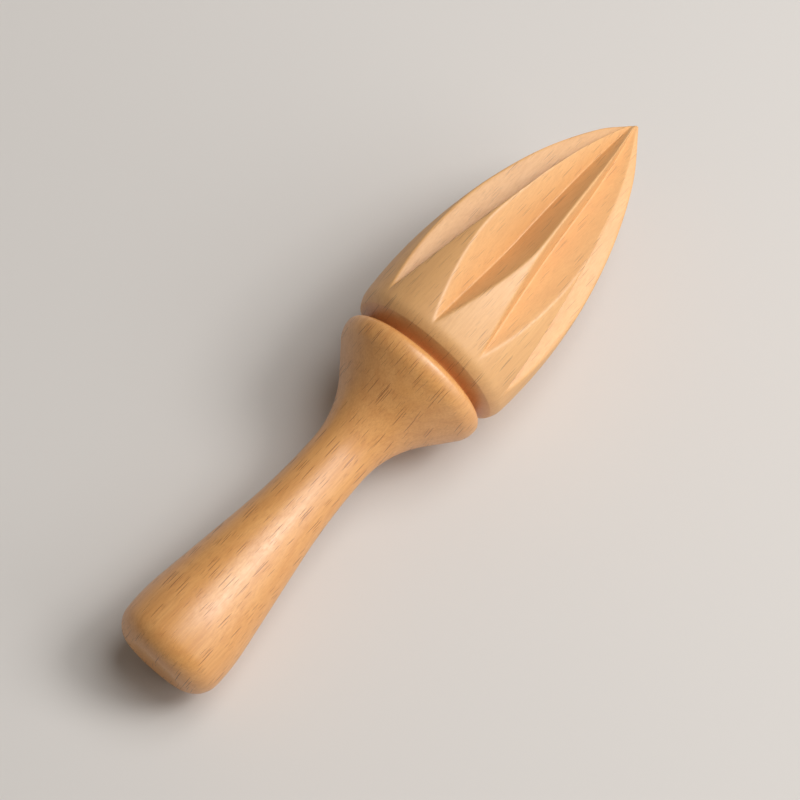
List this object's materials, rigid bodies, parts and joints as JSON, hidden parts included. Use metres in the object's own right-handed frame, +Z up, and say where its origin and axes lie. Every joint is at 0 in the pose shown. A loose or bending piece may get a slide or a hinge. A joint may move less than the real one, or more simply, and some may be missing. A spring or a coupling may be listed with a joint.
{
  "type": "citrus reamer",
  "caption": "Turned wooden citrus reamer with a tapered handle, flared collar, ring groove and pointed head cut with V-shaped flutes.",
  "frame": {"origin": "on the table under the middle of the reamer's bounding box, as it lies on its butt and on the head", "axes": "+X from the butt towards the tip along the table, +Z up from the table, +Y across the reamer; the turning axis lies in the XZ plane and rises 4.70 degrees towards the tip"},
  "size_m": [0.1651, 0.0408, 0.0411],
  "materials": {
    "beech": "sanded smooth, lightly oiled, satin"
  },
  "bodies": {
    "root": {"reamer": "beech"}
  },
  "joints": []
}
